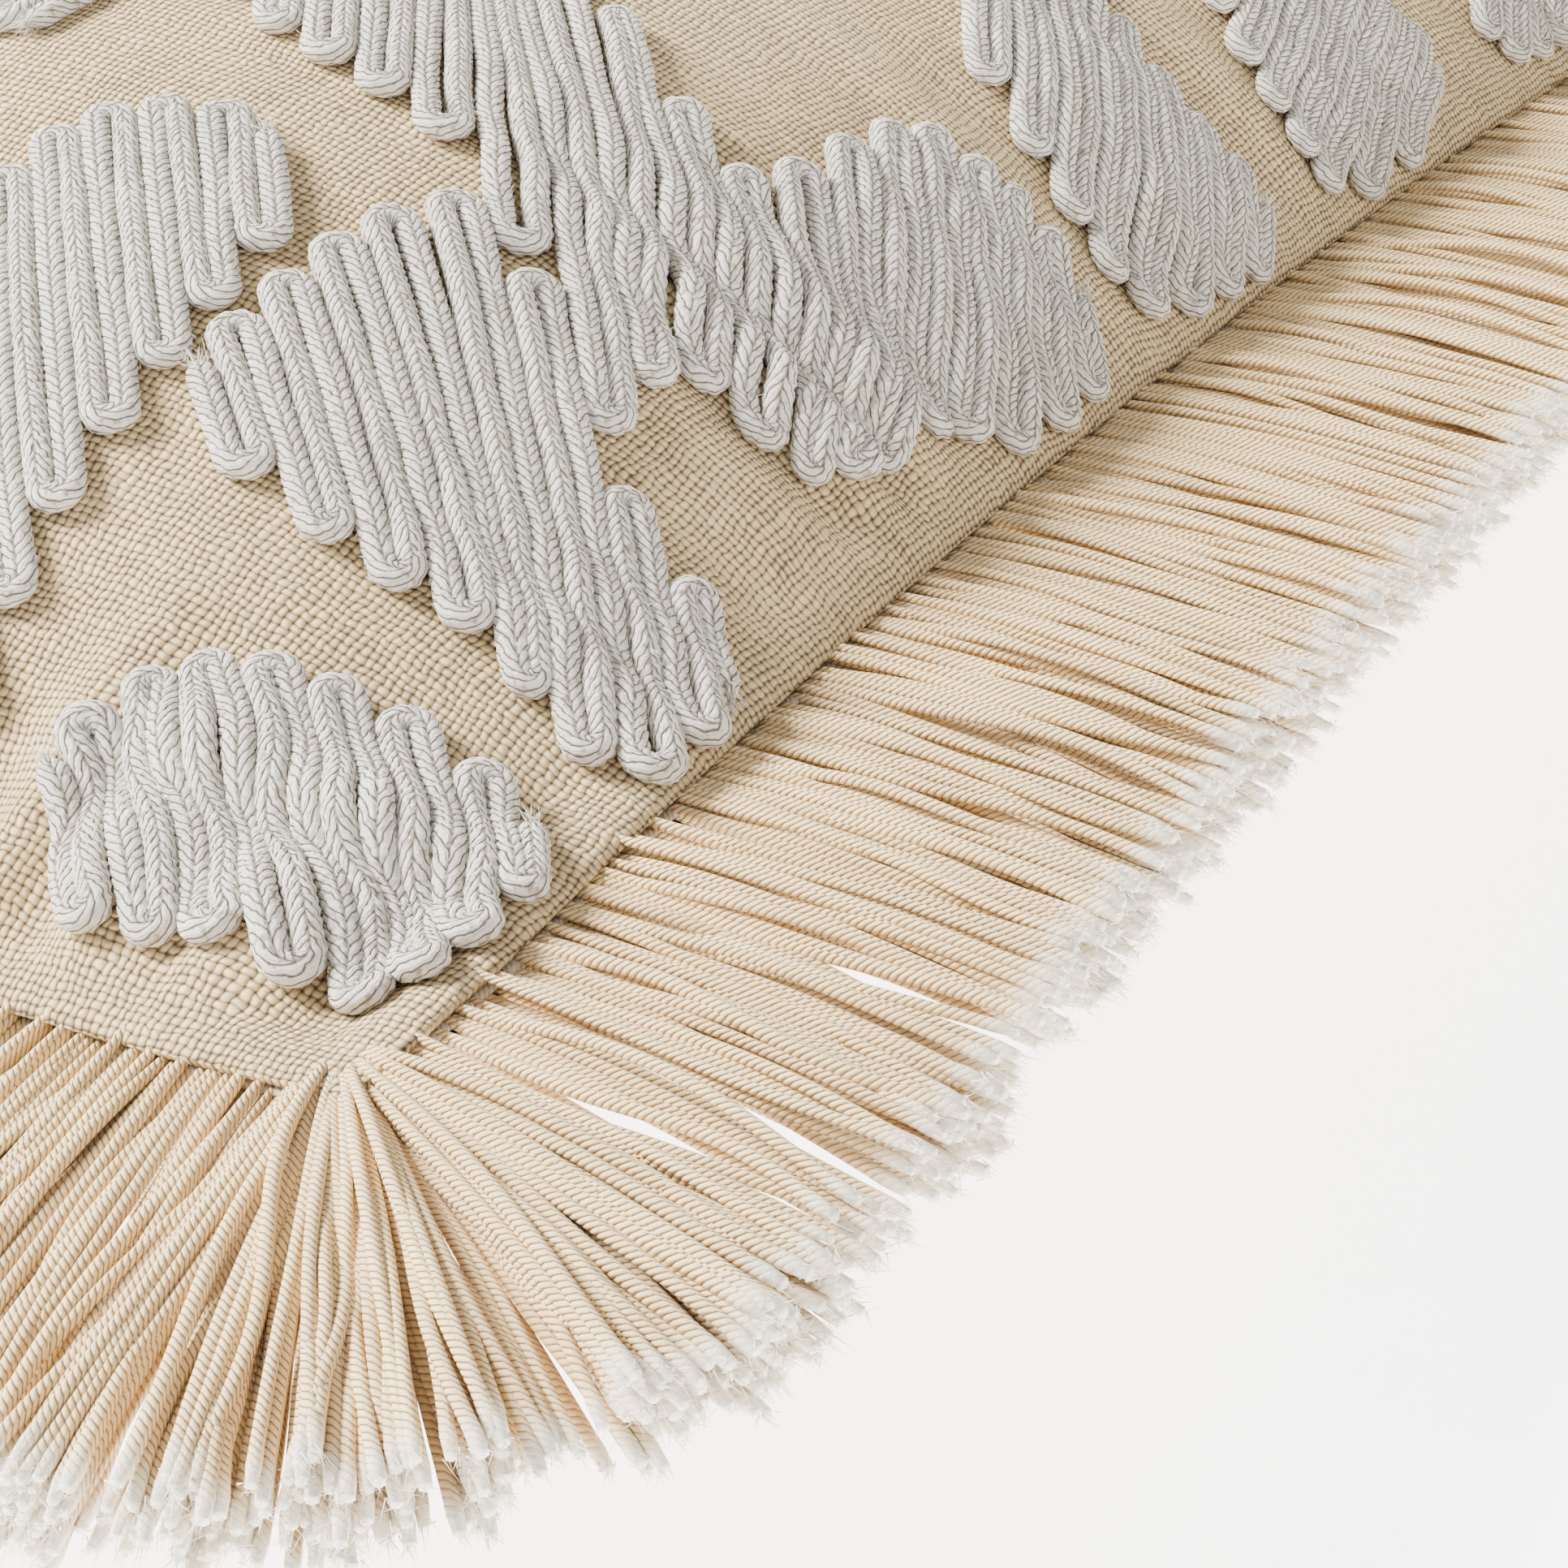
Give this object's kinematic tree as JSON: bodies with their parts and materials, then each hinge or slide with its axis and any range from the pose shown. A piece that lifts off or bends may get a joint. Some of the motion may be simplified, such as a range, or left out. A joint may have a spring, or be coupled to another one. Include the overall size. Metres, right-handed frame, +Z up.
{
  "type": "throw pillow",
  "caption": "Square throw pillow: woven cotton cover with braided cord motifs and a brush fringe on all sides, concealed back zip, and a fibre-filled insert.",
  "frame": {"origin": "centre of the underside, the face it lies on", "axes": "+Z up out of the corded front panel, +X to the right seam, -Y to the bottom seam beside the zip"},
  "size_m": [0.5866, 0.5866, 0.1591],
  "materials": {
    "canvas": "coarse plain weave, natural tan, matt",
    "braided_cord": "braided off-white grey cotton cord, fuzzy",
    "fringe_cotton": "twisted cream cotton yarn, brushed white ends",
    "casing_cloth": "white non-woven cloth",
    "polyester_fibre": "loose white fibre",
    "zip_tape": "fine twill tape",
    "zip_coil": "nylon coil",
    "zip_metal": "satin zinc"
  },
  "bodies": {
    "pillow": {"front_cover": "canvas", "back_cover_main": "canvas", "back_cover_zip_strip": "canvas", "insert_casing_front": "casing_cloth", "insert_casing_back": "casing_cloth", "insert_filling": "polyester_fibre", "fringe_header": "fringe_cotton", "fringe_right": "fringe_cotton", "fringe_top": "fringe_cotton", "fringe_left": "fringe_cotton", "fringe_bottom": "fringe_cotton", "fringe_corner_bottom_right": "fringe_cotton", "fringe_corner_top_right": "fringe_cotton", "fringe_corner_top_left": "fringe_cotton", "fringe_corner_bottom_left": "fringe_cotton", "cord_corner_bar_bottom_right": "braided_cord", "cord_corner_bar_bottom_left": "braided_cord", "cord_corner_bar_top_right": "braided_cord", "cord_corner_bar_top_left": "braided_cord", "cord_bottom_bar_bottom_right": "braided_cord", "cord_bottom_bar_bottom_left": "braided_cord", "cord_bottom_bar_top_right": "braided_cord", "cord_bottom_bar_top_left": "braided_cord", "cord_cross_lower_bottom_right": "braided_cord", "cord_cross_lower_bottom_left": "braided_cord", "cord_cross_lower_top_right": "braided_cord", "cord_cross_lower_top_left": "braided_cord", "cord_cross_upper_bottom_right": "braided_cord", "cord_cross_upper_bottom_left": "braided_cord", "cord_cross_upper_top_right": "braided_cord", "cord_cross_upper_top_left": "braided_cord", "cord_side_bar_bottom_right": "braided_cord", "cord_side_bar_bottom_left": "braided_cord", "cord_side_bar_top_right": "braided_cord", "cord_side_bar_top_left": "braided_cord", "cord_inner_leaf_bottom_right": "braided_cord", "cord_inner_leaf_bottom_left": "braided_cord", "cord_inner_leaf_top_right": "braided_cord", "cord_inner_leaf_top_left": "braided_cord", "cord_bottom_lens_bottom_right": "braided_cord", "cord_bottom_lens_bottom_left": "braided_cord", "cord_bottom_lens_top_right": "braided_cord", "cord_bottom_lens_top_left": "braided_cord", "cord_bottom_band_bottom_right": "braided_cord", "cord_bottom_band_bottom_left": "braided_cord", "cord_bottom_band_top_right": "braided_cord", "cord_bottom_band_top_left": "braided_cord", "cord_side_lens_right": "braided_cord", "cord_side_lens_top": "braided_cord", "cord_side_lens_left": "braided_cord", "cord_side_lens_bottom": "braided_cord", "zip_tape_main": "zip_tape", "zip_tape_strip": "zip_tape", "zip_coil_main": "zip_coil", "zip_coil_strip": "zip_coil", "zip_stop_closed_end": "zip_metal", "zip_stop_open_end": "zip_metal"},
    "zip_slider_body": {"zip_slider": "zip_metal"},
    "zip_tab_body": {"zip_pull_tab": "zip_metal"}
  },
  "joints": [
    {"name": "zip_run", "type": "slide", "parent": "pillow", "child": "zip_slider_body", "axis": [-1, 0, 0], "range_m": [0, 0.2884]},
    {"name": "zip_tab_swing", "type": "hinge", "parent": "zip_slider_body", "child": "zip_tab_body", "pos_m": [0.1442, -0.20522, 0.01449], "axis": [0, -0.7539, 0.6569], "range_deg": [-90, 90]}
  ]
}
